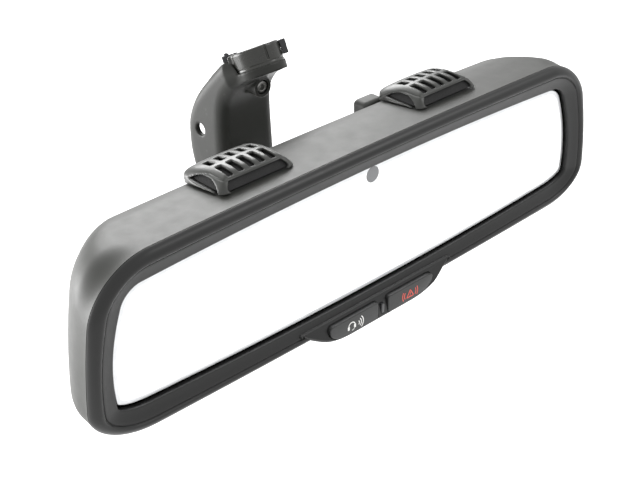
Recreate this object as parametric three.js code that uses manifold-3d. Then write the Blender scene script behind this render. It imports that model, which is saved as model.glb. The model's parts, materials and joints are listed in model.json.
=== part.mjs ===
// Interior rearview mirror: a self-dimming mirror head on a ball joint, held by a bent arm
// whose collar twists on to a button glued to the windscreen.
// Millimetres. +X runs along the mirror, +Y from the driver towards the windscreen, +Z up.
// Everything is laid out from the middle of the glass opening, then moved so that the
// origin is the middle of the collar's flat seat.
import * as THREE from 'three';
import { mergeVertices } from 'three/addons/utils/BufferGeometryUtils.js';
import Module from 'manifold-3d';

const wasm = await Module();
wasm.setup();

// ---- driving dimensions ----
const GAP = 0.3;                 // clearance between pieces that touch
const BIG = 400;                 // longer than anything, for cutting blocks

// Outlines across the front (X, Z): half sizes, how far each edge bows, side taper, corner trims
const OPENING = { halfWidth: 117.6, halfHeight: 23.4, topBow: 3.6, bottomBow: 3.5, sideBow: 3.8,
  taper: -3.9, lift: 0, topTrim: [6, 5.5], bottomTrim: [13, 4] };
const OUTER = { halfWidth: 129.2, halfHeight: 33.8, topBow: 1.8, bottomBow: 1.5, sideBow: 2.4,
  taper: -4.4, lift: 0.8, topTrim: [22, 19], bottomTrim: [26, 17] };
// The rear housing grows squarer corners over its first part
const OUTER_BACK = { ...OUTER, topTrim: [15, 14], bottomTrim: [24, 16] };
const SQUARE_DEPTH = 12;
const EDGE_STEPS = 7;
const SIDE_STEPS = 3;
const CORNER_STEPS = 5;

const SEAM_Y = 0.6;              // where the bezel meets the rear housing
const TONGUE_BACK_Y = 3.6;       // the bezel's tongue reaches into the housing
const CREST_Y = -2.6;            // the bezel's band stands this far in front of the opening
const BEZEL_BACK_Y = 2.5;
const HOUSING_BACK_Y = 38;
const HOUSING_WALL = 2.2;

const GLASS_INSET = 0.9;         // dark gap between the glass and the bezel's lip
const FRONT_GLASS_Y = 2.0;
const GLASS_THICK = 1.6;
const SEAL_THICK = 0.6;
const TAPE_THICK = 0.7;
const CARRIER_THICK = 2.4;

const CHIN_FRONT_Y = -4.2;
const CHIN_BACK_Y = 14;
const CHIN_OUTLINE = [[-43, -28], [-39.3, -32.3], [-25.8, -39.5], [25.8, -39.5], [39.3, -32.3],
  [43, -28]];
const CHIN_FACE_BACK_Y = -1.7;
const CHIN_WALL = 1.4;
const CHIN_CAVITY_TOP = -29.4;
const BUTTON_FRONT_Y = -4.5;
const BUTTON_CLEARANCE = 0.35;
const BUTTON_TOP = -30.8;
const BUTTON_BOTTOM = -38.4;
const BUTTON_INNER = 2.9;
const BUTTON_OUTER = 28.8;
const LEFT_BUTTON = [[-BUTTON_OUTER, BUTTON_TOP], [-BUTTON_INNER, BUTTON_TOP],
  [-BUTTON_INNER, BUTTON_BOTTOM], [-23.4, BUTTON_BOTTOM], [-BUTTON_OUTER, -35.5]];
const RIGHT_BUTTON = [[BUTTON_INNER, BUTTON_TOP], [BUTTON_OUTER, BUTTON_TOP], [BUTTON_OUTER, -34.2],
  [23.5, BUTTON_BOTTOM], [BUTTON_INNER, BUTTON_BOTTOM]];
const LIGHT_PIPE = { x: 0, z: -35, width: 1.6, height: 4.4 };

const BALL_Y = 44;
const BALL_RADIUS = 8;
const NECK_RADIUS = 4.2;
const LINER_OUTER = 9.8;
const SOCKET_RADIUS = 10.1;
const SOCKET_WALL_RADIUS = 13;

const MIC_X = 49.5;
const MIC_FRONT_Y = 7.5;
const MIC_HALF_WIDTH = 17.6;
const MIC_DEPTH = 26.5;
const MIC_TOP_Z = 40;

const SEAT_TILT = THREE.MathUtils.degToRad(27.3);   // the windscreen's lean
const COLLAR_TOP = { y: 68.6, z: 54.8 };            // middle of the collar's top rim
const COLLAR_RADIUS = 10.1;
const COLLAR_HEIGHT = 8.4;
const COLLAR_BORE = 7.6;
const SEAT_DEPTH = 6;
const ARM_WALL = 2.5;
const ARM_TOP_HALF = 13.5;
const ARM_LOW_HALF = 15.4;
const ARM_FRONT_Y = 74.4;

// ---- materials ----
const plastic = new THREE.MeshStandardMaterial({ color: 0x35352f, roughness: 0.5, metalness: 0 });
const darkPlastic = new THREE.MeshStandardMaterial({ color: 0x1c1c1b, roughness: 0.55, metalness: 0 });
const steel = new THREE.MeshStandardMaterial({ color: 0x9a9a96, roughness: 0.35, metalness: 1 });
const blackSteel = new THREE.MeshStandardMaterial({ color: 0x222222, roughness: 0.4, metalness: 0.8 });
const castMetal = new THREE.MeshStandardMaterial({ color: 0x3a3b36, roughness: 0.5, metalness: 0.3 });
const mirror = new THREE.MeshStandardMaterial({ color: 0xe8ecee, roughness: 0.02, metalness: 1 });
const board = new THREE.MeshStandardMaterial({ color: 0x1f5a35, roughness: 0.5, metalness: 0 });
const rubber = new THREE.MeshStandardMaterial({ color: 0x151515, roughness: 0.9, metalness: 0 });
const lens = new THREE.MeshStandardMaterial({ color: 0x565a5c, roughness: 0.1, metalness: 0 });
const nylon = new THREE.MeshStandardMaterial({ color: 0xd8d6cc, roughness: 0.5, metalness: 0 });

// ---- solids ----
function solid(geometry) {
  const plain = geometry.clone();
  plain.deleteAttribute('normal');
  plain.deleteAttribute('uv');
  const merged = mergeVertices(plain, 1e-4);
  const mesh = new wasm.Mesh({
    numProp: 3,
    vertProperties: new Float32Array(merged.attributes.position.array),
    triVerts: new Uint32Array(merged.index.array),
  });
  return new wasm.Manifold(mesh);
}

function toGeometry(manifold) {
  const mesh = manifold.getMesh();
  const geometry = new THREE.BufferGeometry();
  geometry.setAttribute('position', new THREE.BufferAttribute(new Float32Array(mesh.vertProperties), 3));
  geometry.setIndex(new THREE.BufferAttribute(new Uint32Array(mesh.triVerts), 1));
  const flat = geometry.toNonIndexed();
  flat.computeVertexNormals();
  return flat;
}

const join = (...parts) => parts.reduce((sum, next) => sum.add(next));
const cut = (body, ...tools) => tools.reduce((rest, tool) => rest.subtract(tool), body);

function box(x0, x1, y0, y1, z0, z1) {
  const geometry = new THREE.BoxGeometry(x1 - x0, y1 - y0, z1 - z0);
  return geometry.translate((x0 + x1) / 2, (y0 + y1) / 2, (z0 + z1) / 2);
}

// A cylinder along Y
function rod(radius, y0, y1, x = 0, z = 0, sides = 16) {
  return new THREE.CylinderGeometry(radius, radius, y1 - y0, sides).translate(x, (y0 + y1) / 2, z);
}

// A flat outline (x, z) made thick along Y
function plateY(points, y0, y1) {
  const shape = new THREE.Shape(points.map(([x, z]) => new THREE.Vector2(x, z)));
  const geometry = new THREE.ExtrudeGeometry(shape, { depth: y1 - y0, bevelEnabled: false });
  return geometry.rotateX(Math.PI / 2).translate(0, y1, 0);
}

// A closed profile of [radius, y] turned round the Y axis, in the order that faces out
function turned(profile, segments = 32) {
  const points = profile.map(([r, y]) => new THREE.Vector2(r, y));
  const ordered = THREE.ShapeUtils.isClockWise(points) ? points.reverse() : points;
  return new THREE.LatheGeometry([...ordered, ordered[0]], segments);
}

// Rings of equal length joined into a skin. A closed loop of rings makes a tube-like frame;
// otherwise both ends are capped from their middles.
function loft(rings, closedLoop) {
  const count = rings[0].length;
  const positions = rings.flat(2);
  const index = [];
  const pairs = closedLoop ? rings.length : rings.length - 1;
  for (let i = 0; i < pairs; i++) {
    const a = i * count;
    const b = ((i + 1) % rings.length) * count;
    for (let j = 0; j < count; j++) {
      const k = (j + 1) % count;
      index.push(a + j, a + k, b + k, a + j, b + k, b + j);
    }
  }
  if (!closedLoop) {
    for (const [ring, forward] of [[0, false], [rings.length - 1, true]]) {
      const middle = positions.length / 3;
      for (let axis = 0; axis < 3; axis++) {
        positions.push(rings[ring].reduce((sum, point) => sum + point[axis], 0) / count);
      }
      for (let j = 0; j < count; j++) {
        const a = ring * count + j;
        const b = ring * count + (j + 1) % count;
        index.push(...(forward ? [a, b, middle] : [b, a, middle]));
      }
    }
  }
  const geometry = new THREE.BufferGeometry();
  geometry.setAttribute('position', new THREE.BufferAttribute(new Float32Array(positions), 3));
  geometry.setIndex(index);
  return geometry;
}

// ---- outlines ----
// Point on a corner that leaves a along one edge and reaches b along the next; tip is where
// the two edges' tangents cross
function cornerPoints(a, tip, b) {
  const round = 0.5523;
  const near = a.map((v, i) => v + (tip[i] - v) * round);
  const far = b.map((v, i) => v + (tip[i] - v) * round);
  const curve = new THREE.CubicBezierCurve(...[a, near, far, b].map((p) => new THREE.Vector2(...p)));
  return curve.getPoints(CORNER_STEPS).slice(1, -1).map((p) => [p.x, p.y]);
}

function crossing(a, a2, b, b2) {
  const [dx, dz] = [a2[0] - a[0], a2[1] - a[1]];
  const [ex, ez] = [b2[0] - b[0], b2[1] - b[1]];
  const s = ((b[0] - a[0]) * ez - (b[1] - a[1]) * ex) / (dx * ez - dz * ex);
  return [a[0] + dx * s, a[1] + dz * s];
}

// The front outline, clockwise from the top left: bowed edges and rounded corners
function outline(o) {
  const top = (x) => [x, o.lift + o.halfHeight + o.topBow * (1 - (x / o.halfWidth) ** 2)];
  const bottom = (x) => [x, o.lift - o.halfHeight - o.bottomBow * (1 - (x / o.halfWidth) ** 2)];
  const side = (z, sign) => [sign * (o.halfWidth + o.taper * z / o.halfHeight
    + o.sideBow * (1 - (z / o.halfHeight) ** 2)), z];
  const span = (from, to, steps, f) => Array.from({ length: steps + 1 },
    (_, i) => f(from + (to - from) * i / steps));
  const topX = o.halfWidth + o.taper - o.topTrim[0];
  const lowX = o.halfWidth - o.taper - o.bottomTrim[0];
  const topZ = o.halfHeight - o.topTrim[1];
  const lowZ = -o.halfHeight + o.bottomTrim[1];
  const runs = [
    span(-topX, topX, EDGE_STEPS, top),
    span(topZ, lowZ, SIDE_STEPS, (z) => side(z, 1)),
    span(lowX, -lowX, EDGE_STEPS, bottom),
    span(lowZ, topZ, SIDE_STEPS, (z) => side(z, -1)),
  ];
  return runs.flatMap((run, i) => {
    const next = runs[(i + 1) % runs.length];
    const tip = crossing(run.at(-2), run.at(-1), next[0], next[1]);
    return [...run, ...cornerPoints(run.at(-1), tip, next[0])];
  });
}

// Moves each point of a clockwise outline outwards by a distance
function grown(points, distance) {
  return points.map((p, i) => {
    const before = points.at(i - 1);
    const after = points[(i + 1) % points.length];
    const a = Math.atan2(p[1] - before[1], p[0] - before[0]);
    const b = Math.atan2(after[1] - p[1], after[0] - p[0]);
    const half = Math.atan2(Math.sin(b - a), Math.cos(b - a)) / 2;
    const normal = a + half + Math.PI / 2;
    const reach = distance / Math.cos(half);
    return [p[0] + reach * Math.cos(normal), p[1] + reach * Math.sin(normal)];
  });
}

// A polygon with every corner rounded by the same trim, clockwise like the outlines
function rounded(points, trim, steps = 3) {
  return points.flatMap((p, i) => {
    const toward = (q) => {
      const length = Math.hypot(q[0] - p[0], q[1] - p[1]);
      const t = Math.min(trim, length / 2.2) / length;
      return new THREE.Vector2(p[0] + (q[0] - p[0]) * t, p[1] + (q[1] - p[1]) * t);
    };
    const curve = new THREE.QuadraticBezierCurve(toward(points.at(i - 1)), new THREE.Vector2(...p),
      toward(points[(i + 1) % points.length]));
    return curve.getPoints(steps).map((q) => [q.x, q.y]);
  });
}

const clockwise = (points) => (THREE.ShapeUtils.isClockWise(points.map(([x, y]) => ({ x, y })))
  ? points : [...points].reverse());

const openingLine = outline(OPENING);
const outerLine = outline(OUTER);
const outerBackLine = outline(OUTER_BACK);
const glassLine = grown(openingLine, -GLASS_INSET);
const chinLine = rounded(clockwise(CHIN_OUTLINE), 4);

// ---- head: shells ----
const OUTER_TOP = OUTER.lift + OUTER.halfHeight + OUTER.topBow;

// Ring across the bezel's band: 0 at the glass opening, 1 at the outer edge
const bandRing = (across, y) => openingLine.map((p, i) => [
  p[0] + (outerLine[i][0] - p[0]) * across, y, p[1] + (outerLine[i][1] - p[1]) * across]);

function bezel() {
  const profile = [[0, 0.4], [0.08, 0], [0.3, -0.7], [0.48, CREST_Y + 0.3], [0.66, CREST_Y],
    [0.86, CREST_Y + 0.7], [0.97, CREST_Y + 1.9], [1, SEAM_Y], [0.82, SEAM_Y],
    [0.82, TONGUE_BACK_Y], [0.6, TONGUE_BACK_Y], [0.6, BEZEL_BACK_Y], [0, BEZEL_BACK_Y]];
  const frame = solid(loft(profile.map(([across, y]) => bandRing(across, y)), true));
  const opening = solid(plateY(openingLine, -BIG, BIG));
  const chin = solid(plateY(chinLine, CHIN_FRONT_Y, SEAM_Y)).subtract(opening);
  const windows = [LEFT_BUTTON, RIGHT_BUTTON].map((b) => solid(plateY(
    grown(rounded(clockwise(b), 1.6), BUTTON_CLEARANCE), CHIN_FRONT_Y - 5, SEAM_Y)));
  const pipeHole = solid(plateY(grown(pipeLine(), GAP), CHIN_FRONT_Y - 5, SEAM_Y));
  return cut(join(frame, chin), chinCavity(CHIN_FACE_BACK_Y), ...windows, pipeHole);
}

// The hollow behind the chin's face, from a front plane backwards
function chinCavity(frontY) {
  const line = rounded(grown(clockwise(CHIN_OUTLINE), -CHIN_WALL), 4);
  const inside = solid(plateY(line, frontY, CHIN_BACK_Y - CHIN_WALL));
  return inside.intersect(solid(box(-33, 33, -BIG, BIG, -BIG, CHIN_CAVITY_TOP)));
}

// Sections of the rear housing: depth, and how far its ends, its top and its bottom draw in
const HOUSING_SECTIONS = [[SEAM_Y + GAP, 0, 0], [11, 1.4, 0.7], [20, 5.7, 1.4], [27, 11.6, 2.5],
  [32.5, 18, 4.9], [36, 26, 8.7], [HOUSING_BACK_Y, 36, 14.2]];

function housingRing(y, drawX, drawZ, grow) {
  const halfX = OUTER.halfWidth + OUTER.sideBow;
  const square = THREE.MathUtils.clamp((y - SEAM_Y - GAP) / SQUARE_DEPTH, 0, 1);
  return outerLine.map((front, i) => {
    const [x, z] = front.map((v, axis) => v + (outerBackLine[i][axis] - v) * square);
    return [x * (halfX - drawX + grow) / halfX, y, z * (OUTER_TOP - drawZ + grow) / OUTER_TOP];
  });
}

// The housing's outside as a full block, grown or shrunk all round
function housingBlock(grow, frontY) {
  const rings = HOUSING_SECTIONS.map(([y, dx, dz], i) => housingRing(
    i === 0 ? frontY : y + grow * (i / (HOUSING_SECTIONS.length - 1)), dx, dz, grow));
  return solid(loft(rings, false));
}

const SCREW_SPOTS = [[-66, 14], [66, 14], [-66, -14], [66, -14]];

function rearHousing() {
  const frontY = SEAM_Y + GAP;
  const hollow = housingBlock(-HOUSING_WALL, frontY - 1);
  const mouth = solid(loft([frontY - 1, TONGUE_BACK_Y + 1].map((y) => bandRing(0.86, y)), false));
  const chin = solid(plateY(chinLine, frontY, CHIN_BACK_Y));
  const inner = join(hollow, mouth, chinCavity(frontY - 1));
  const shell = join(housingBlock(0, frontY), chin).subtract(inner);
  const posts = SCREW_SPOTS.map(([x, z]) => solid(rod(5, 30.6, 36.6, x, z)));
  const bores = SCREW_SPOTS.flatMap(([x, z]) => [solid(rod(1.9, 20, 50, x, z)),
    solid(rod(3.9, 34, 50, x, z))]);
  const ballHole = solid(rod(SOCKET_WALL_RADIUS + 0.6, 30, 50, 0, 0, 32));
  const lensHole = solid(rod(AMBIENT.radius + GAP, 30, 50, AMBIENT.x, AMBIENT.z));
  return cut(join(shell, ...posts), ...bores, ballHole, lensHole);
}

// ---- head: glass and carrier ----
const rearGlassY = FRONT_GLASS_Y + GLASS_THICK + SEAL_THICK + 2 * GAP;
const tapeY = rearGlassY + GLASS_THICK + GAP;
const carrierY = tapeY + TAPE_THICK + GAP;
const carrierBackY = carrierY + CARRIER_THICK;
const GLARE = { x: 0, z: 22.8, radius: 3 };
const AMBIENT = { x: -34, z: 10, radius: 4 };

const plateRing = (points, y) => points.map(([x, z]) => [x, y, z]);
const sheet = (points, y0, y1) => solid(loft([plateRing(points, y0), plateRing(points, y1)], false));

const frontGlass = () => sheet(glassLine, FRONT_GLASS_Y, FRONT_GLASS_Y + GLASS_THICK);
const rearGlass = () => sheet(glassLine, rearGlassY, rearGlassY + GLASS_THICK);

function edgeSeal() {
  const y0 = FRONT_GLASS_Y + GLASS_THICK + GAP;
  const outside = sheet(grown(glassLine, -0.3), y0, y0 + SEAL_THICK);
  return outside.subtract(sheet(grown(glassLine, -2.6), y0 - 1, y0 + SEAL_THICK + 1));
}

function foamTape() {
  const pad = sheet(grown(glassLine, -1.5), tapeY, tapeY + TAPE_THICK);
  return pad.subtract(solid(rod(GLARE.radius + 0.8, tapeY - 1, tapeY + 2, GLARE.x, GLARE.z)));
}

const HUB_FLANGE_RADIUS = 19.4;
const HUB_SCREW_CIRCLE = 16.3;
const HUB_SCREWS = [30, 150, 270].map((deg) => {
  const angle = THREE.MathUtils.degToRad(deg);
  return [HUB_SCREW_CIRCLE * Math.cos(angle), HUB_SCREW_CIRCLE * Math.sin(angle)];
});

function carrierPlate() {
  const plate = sheet(grown(openingLine, -0.4), carrierY, carrierBackY);
  const ribs = [-90, 90].map((x) => solid(box(x - 1, x + 1, carrierBackY - 1, 16, -20, 20)));
  const posts = SCREW_SPOTS.map(([x, z]) => solid(rod(4, carrierBackY - 1, 30.3, x, z)));
  const bores = SCREW_SPOTS.map(([x, z]) => solid(rod(1.9, 13, 50, x, z)));
  const hubBores = HUB_SCREWS.map(([x, z]) => solid(rod(1.7, 0, 30, x, z)));
  const sensorHole = solid(rod(GLARE.radius + GAP, 0, 30, GLARE.x, GLARE.z));
  return cut(join(plate, ...ribs, ...posts), ...bores, ...hubBores, sensorHole);
}

const glareSensor = () => join(solid(rod(GLARE.radius, tapeY, carrierBackY + 1.5, GLARE.x, GLARE.z, 16)),
  solid(box(GLARE.x - 4, GLARE.x + 4, carrierBackY + GAP, carrierBackY + 2.4, 20.2, 25.4)));

function screw(headRadius, headY0, headY1, shankRadius, tipY, driveRadius) {
  const head = turned([[0, tipY], [shankRadius * 0.6, tipY], [shankRadius, tipY + 1.2],
    [shankRadius, headY0], [headRadius, headY0], [headRadius, headY1 - 0.5],
    [headRadius - 0.5, headY1], [0, headY1]], 12);
  const drive = new THREE.CylinderGeometry(driveRadius, driveRadius, 2.4, 6).translate(0, headY1, 0);
  return solid(head).subtract(solid(drive));
}

const housingScrew = () => screw(3.5, 34.3, 36.8, 1.5, 17, 1.5);
const hubScrew = () => screw(2.8, hubFlangeBackY + GAP, hubFlangeBackY + 2.3, 1.4, carrierY + 0.4, 1.2);

// ---- head: electronics ----
const BOARD_Y = 13.6;

function circuitBoard() {
  const plate = solid(box(30, 88, BOARD_Y, BOARD_Y + 1.6, -19, 20));
  const postHoles = SCREW_SPOTS.map(([x, z]) => solid(rod(4.6, 0, 50, x, z)));
  return cut(plate, ...postHoles);
}

const controlChip = () => solid(box(42, 54, BOARD_Y + 1.9, BOARD_Y + 4.1, -6, 6));
const ambientSensor = () => solid(box(AMBIENT.x - 3, AMBIENT.x + 3, 29, 33, AMBIENT.z - 3, AMBIENT.z + 3));
const ambientLens = () => solid(turned([[0, 34.4], [AMBIENT.radius - 0.9, 34.4],
  [AMBIENT.radius, 35.4], [AMBIENT.radius, HOUSING_BACK_Y - 0.2], [AMBIENT.radius * 0.6, HOUSING_BACK_Y],
  [0, HOUSING_BACK_Y]], 24).translate(AMBIENT.x, 0, AMBIENT.z));

// ---- chin: buttons ----
const pipeLine = () => {
  const { x, z, width, height } = LIGHT_PIPE;
  return rounded([[x - width / 2, z + height / 2], [x + width / 2, z + height / 2],
    [x + width / 2, z - height / 2], [x - width / 2, z - height / 2]], width / 2);
};
const lightPipe = () => solid(plateY(pipeLine(), CHIN_FRONT_Y - 0.1, SWITCH_Y - 0.8));

const SWITCH_Y = 2.5;            // front of a switch body
const SWITCH_Z = -34.5;
const SWITCH_X = 15.5;
const BUTTON_BOARD_Y = 5.7;

const FLANGE_BACK_Y = -0.4;      // the flange that keeps a button from falling out

function button(points, switchX) {
  const face = rounded(clockwise(points), 1.6);
  const xs = points.map(([x]) => x);
  const cap = solid(plateY(face, BUTTON_FRONT_Y, -2));
  const neck = solid(plateY(grown(face, -0.6), -3, FLANGE_BACK_Y));
  const flange = solid(box(Math.min(...xs) - 0.9, Math.max(...xs) + 0.9, FLANGE_BACK_Y - 1, FLANGE_BACK_Y,
    -34.7, -30.3));
  const plunger = solid(rod(1.5, FLANGE_BACK_Y - 0.3, SWITCH_Y - 1.8, switchX, SWITCH_Z, 16));
  return join(cap, neck, flange, plunger);
}

function tactSwitch(x) {
  const body = solid(box(x - 3, x + 3, SWITCH_Y, BUTTON_BOARD_Y - GAP, SWITCH_Z - 3, SWITCH_Z + 3));
  return body.add(solid(rod(1.6, SWITCH_Y - 0.8, SWITCH_Y + 1, x, SWITCH_Z, 16)));
}

const buttonBoard = () => solid(box(-24, 24, BUTTON_BOARD_Y, BUTTON_BOARD_Y + 1.2, -37.7, -30.7));
const indicatorLed = () => solid(box(LIGHT_PIPE.x - 1.1, LIGHT_PIPE.x + 1.1, SWITCH_Y + 0.2,
  BUTTON_BOARD_Y - GAP, LIGHT_PIPE.z - 1.6, LIGHT_PIPE.z + 1.6));

// ---- microphones on top ----
// Plan of a microphone cover (x from its middle, y): a straight front, sides drawing in at the back
function micPlan() {
  const w = MIC_HALF_WIDTH;
  const back = MIC_FRONT_Y + MIC_DEPTH;
  return rounded(clockwise([[-w, MIC_FRONT_Y], [w, MIC_FRONT_Y], [w, back - 8], [w - 2.5, back],
    [2.5 - w, back], [-w, back - 8]]), 4.5, 2);
}

function micBlock(inset, topZ, baseZ, dome) {
  const middleY = MIC_FRONT_Y + MIC_DEPTH / 2;
  const ring = (inward, z) => micPlan().map(([x, y]) => [x * (1 - (inset + inward) / MIC_HALF_WIDTH),
    middleY + (y - middleY) * (1 - (inset + inward) / (MIC_DEPTH / 2)), z]);
  return solid(loft([ring(9.5, topZ + dome), ring(2.4, topZ),
    ring(1.3, topZ - 0.7), ring(0.5, topZ - 2.2), ring(0, baseZ)], false));
}

function micCover() {
  const shell = micBlock(0, MIC_TOP_Z, 30, 1.7).subtract(micBlock(1.63, MIC_TOP_Z - 1.57, 29, 1.4));
  const frontWindow = box(-13, 13, 0, MIC_FRONT_Y + 4, 36.3, 38.6);
  const sideWindow = box(-30, 30, MIC_FRONT_Y + 5, MIC_FRONT_Y + 18, 36.3, 38.2);
  const slots = [];
  for (let i = -2; i <= 2; i++) {
    slots.push(solid(box(i * 4.83 - 1.25, i * 4.83 + 1.25, 12.54, 19.5, 36.9, 50)));
    slots.push(solid(box(i * 4.83 - 1.25, i * 4.83 + 1.25, 22.23, 26.7, 36.9, 50)));
  }
  return cut(shell, solid(plateX(micSeat(), 30)), solid(frontWindow), solid(sideWindow), ...slots);
}

// Side view (y, z) of the housing's top where the covers stand, a gap above each section
const micSeat = () => [[0, 0], [0, OUTER_TOP + GAP], ...HOUSING_SECTIONS.slice(1, 6)
  .map(([y, , drawZ]) => [y, OUTER_TOP - drawZ + GAP]), [60, 0]];

const MIC_FLOOR_Z = 35.8;
const micUp = (geometry) => geometry.rotateX(Math.PI / 2).translate(0, MIC_FRONT_Y + 12, 0);
const micCapsule = () => solid(micUp(rod(3, 36.6, 38.6)));
const micBoot = () => solid(micUp(turned([[0, MIC_FLOOR_Z], [4.6, MIC_FLOOR_Z], [4.6, 38.4],
  [3.3, 38.4], [3.3, 36.3], [0, 36.3]], 16)));

// ---- wire connector on the back ----
const PLUG = { x0: 28.5, x1: 40.2, z0: 19.4, z1: 31.8, frontY: 34.5, backY: 42.5, pocketY: 38.4 };
const pinXs = [-3, -1, 1, 3].map((step) => (PLUG.x0 + PLUG.x1) / 2 + step * 1.2);
const pinZ = 27;

function connectorShroud() {
  const outside = rounded([[PLUG.x0, PLUG.z1], [PLUG.x1, PLUG.z1], [PLUG.x1, PLUG.z0],
    [PLUG.x0, PLUG.z0]], 2);
  const block = solid(plateY(outside, PLUG.frontY, PLUG.backY));
  const pocket = solid(box(PLUG.x0 + 1.2, PLUG.x1 - 1.2, PLUG.pocketY, 60, PLUG.z0 + 3.6, PLUG.z1 - 1.2));
  return cut(block, housingBlock(GAP, SEAM_Y), pocket);
}

const connectorPin = (x) => solid(box(x - 0.4, x + 0.4, PLUG.pocketY + GAP, PLUG.backY - 0.6,
  pinZ - 0.4, pinZ + 0.4));

// ---- ball joint, laid out along Y from the ball's middle ----
const hubFlangeBackY = carrierBackY + GAP + 2;
const arc = (radius, from, to, steps) => Array.from({ length: steps + 1 }, (_, i) => {
  const angle = THREE.MathUtils.degToRad(from + (to - from) * i / steps);
  return [radius * Math.sin(angle), BALL_Y + radius * Math.cos(angle)];
});

function socketHousing() {
  const wall = SOCKET_WALL_RADIUS;
  const y0 = carrierBackY + GAP;
  const profile = [[8, y0], [HUB_FLANGE_RADIUS, y0], [HUB_FLANGE_RADIUS, hubFlangeBackY], [wall, hubFlangeBackY],
    [wall, BALL_Y + 5.5], [wall - 2, BALL_Y + 8], [9.6, BALL_Y + 7.6],
    ...arc(SOCKET_RADIUS, 52, 90, 5), [SOCKET_RADIUS, BALL_Y - 17.5], [3, BALL_Y - 17.5],
    [3, BALL_Y - 19.5], [8, BALL_Y - 19.5]];
  const holes = HUB_SCREWS.map(([x, z]) => solid(rod(1.7, 0, 30, x, z)));
  return cut(solid(turned(profile, 24)), ...holes);
}

const ballLiner = () => solid(turned([...arc(BALL_RADIUS + GAP, 57, 104, 4),
  ...arc(LINER_OUTER, 104, 57, 4)], 24));
const pressureCup = () => solid(turned([...arc(BALL_RADIUS + GAP, 180, 128, 4),
  [SOCKET_RADIUS - GAP, BALL_Y - 6.5], [SOCKET_RADIUS - GAP, BALL_Y - 13], [0, BALL_Y - 13]], 24));
const discSpring = () => solid(turned([[4, BALL_Y - 17], [4.6, BALL_Y - 17.2],
  [9.6, BALL_Y - 14.2], [9.4, BALL_Y - 13.4]], 24));

function ballStud() {
  const neckAngle = THREE.MathUtils.radToDeg(Math.asin(NECK_RADIUS / BALL_RADIUS));
  const ball = arc(BALL_RADIUS, 180, neckAngle, 9);
  const profile = [...ball, [NECK_RADIUS, 70.5], [7, 71], [7, ARM_FRONT_Y - GAP],
    [3, ARM_FRONT_Y - GAP], [3, 83.5], [2.4, 84], [0, 84]];
  return solid(turned(profile, 24));
}

const studNut = () => {
  const y0 = ARM_FRONT_Y + ARM_WALL + GAP;
  return solid(rod(6, y0, y0 + 4.6, 0, 0, 6)).subtract(solid(rod(3 + GAP, 0, 120)));
};

// ---- arm and collar ----
// Side view of the arm (y, z), from its lower front corner up the front and down the back
const ARM_FRONT_EDGE = [[ARM_FRONT_Y, -10], [ARM_FRONT_Y, 24], [73.2, 32.5], [69.6, 38.6],
  [65, 42.6], [60.3, 46.4], [56, 52]];
const ARM_BACK_EDGE = [[74.1, 50.9], [84.8, 39.8], [92, 30.8], [96.3, 21.6], [97.4, 13.5],
  [96.6, 3.7], [93.2, -6], [87.5, -12.5], [80, -14]];
const CHANNEL = [[77, -10.5], [77, 24.5], [75.8, 32.2], [77.5, 37], [86, 46], [120, 40], [120, -4],
  [88, -9]];
const CROSS_HOLE = { y: 87.9, z: 17.5, radius: 2.6 };
const BOSS = { frontY: 63.6, z: 39, radius: 4.3 };

const smooth = (points, steps) => new THREE.SplineCurve(points.map((p) => new THREE.Vector2(...p)))
  .getPoints(steps).map((p) => [p.x, p.y]);

// An outline (y, z) made thick along X, evenly about the middle
function plateX(points, half) {
  const shape = new THREE.Shape(points.map(([y, z]) => new THREE.Vector2(y, z)));
  const geometry = new THREE.ExtrudeGeometry(shape, { depth: 2 * half, bevelEnabled: false });
  return geometry.translate(0, 0, -half).rotateY(Math.PI / 2).rotateX(Math.PI / 2);
}

// Moves a geometry from the collar's own frame, +Z out of the seat, to where the collar sits
function fromCollar(geometry) {
  return geometry.rotateX(-SEAT_TILT).translate(0, COLLAR_TOP.y, COLLAR_TOP.z);
}
const standing = (profile, segments) => turned(profile, segments).rotateX(Math.PI / 2);

// Plan of the arm seen along the collar's axis: as round as the collar in front, wider behind
function armPlan(inset) {
  const front = [];
  for (let deg = 0; deg <= 180; deg += 15) {
    const angle = THREE.MathUtils.degToRad(180 + deg);
    front.push([(COLLAR_RADIUS - inset) * Math.cos(angle), (COLLAR_RADIUS - inset) * Math.sin(angle)]);
  }
  return [[-ARM_LOW_HALF + inset, 60], [-ARM_LOW_HALF + inset, 40], [-ARM_TOP_HALF + inset, 7], ...front,
    [ARM_TOP_HALF - inset, 7], [ARM_LOW_HALF - inset, 40], [ARM_LOW_HALF - inset, 60]];
}

function armColumn(inset) {
  const shape = new THREE.Shape(armPlan(inset).map((p) => new THREE.Vector2(...p)));
  const geometry = new THREE.ExtrudeGeometry(shape, { depth: 120, bevelEnabled: false });
  return solid(fromCollar(geometry.translate(0, 0, -110)));
}

function arm() {
  const side = [...smooth(ARM_FRONT_EDGE, 14), ...smooth(ARM_BACK_EDGE, 16)];
  const body = solid(plateX(side, 20)).intersect(armColumn(0));
  const channel = solid(plateX(CHANNEL, 20)).intersect(armColumn(ARM_WALL));
  const collarSpace = solid(fromCollar(standing([[0, -COLLAR_HEIGHT - GAP],
    [COLLAR_RADIUS + GAP, -COLLAR_HEIGHT - GAP], [COLLAR_RADIUS + GAP, 20], [0, 20]], 36)));
  const earSpace = solid(fromCollar(ear(-1, 1.4, COLLAR_HEIGHT + 1)));
  const crossHole = new THREE.CylinderGeometry(CROSS_HOLE.radius, CROSS_HOLE.radius, 60, 16)
    .rotateZ(Math.PI / 2).translate(0, CROSS_HOLE.y, CROSS_HOLE.z);
  const boss = solid(rod(BOSS.radius, BOSS.frontY, 75.5, 0, BOSS.z));
  const bossBore = solid(rod(2.9, 50, 74.5, 0, BOSS.z));
  const studBore = solid(rod(3 + GAP, 60, 90));
  return cut(join(body.subtract(channel), boss), collarSpace, earSpace, solid(crossHole), bossBore,
    studBore);
}

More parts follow.
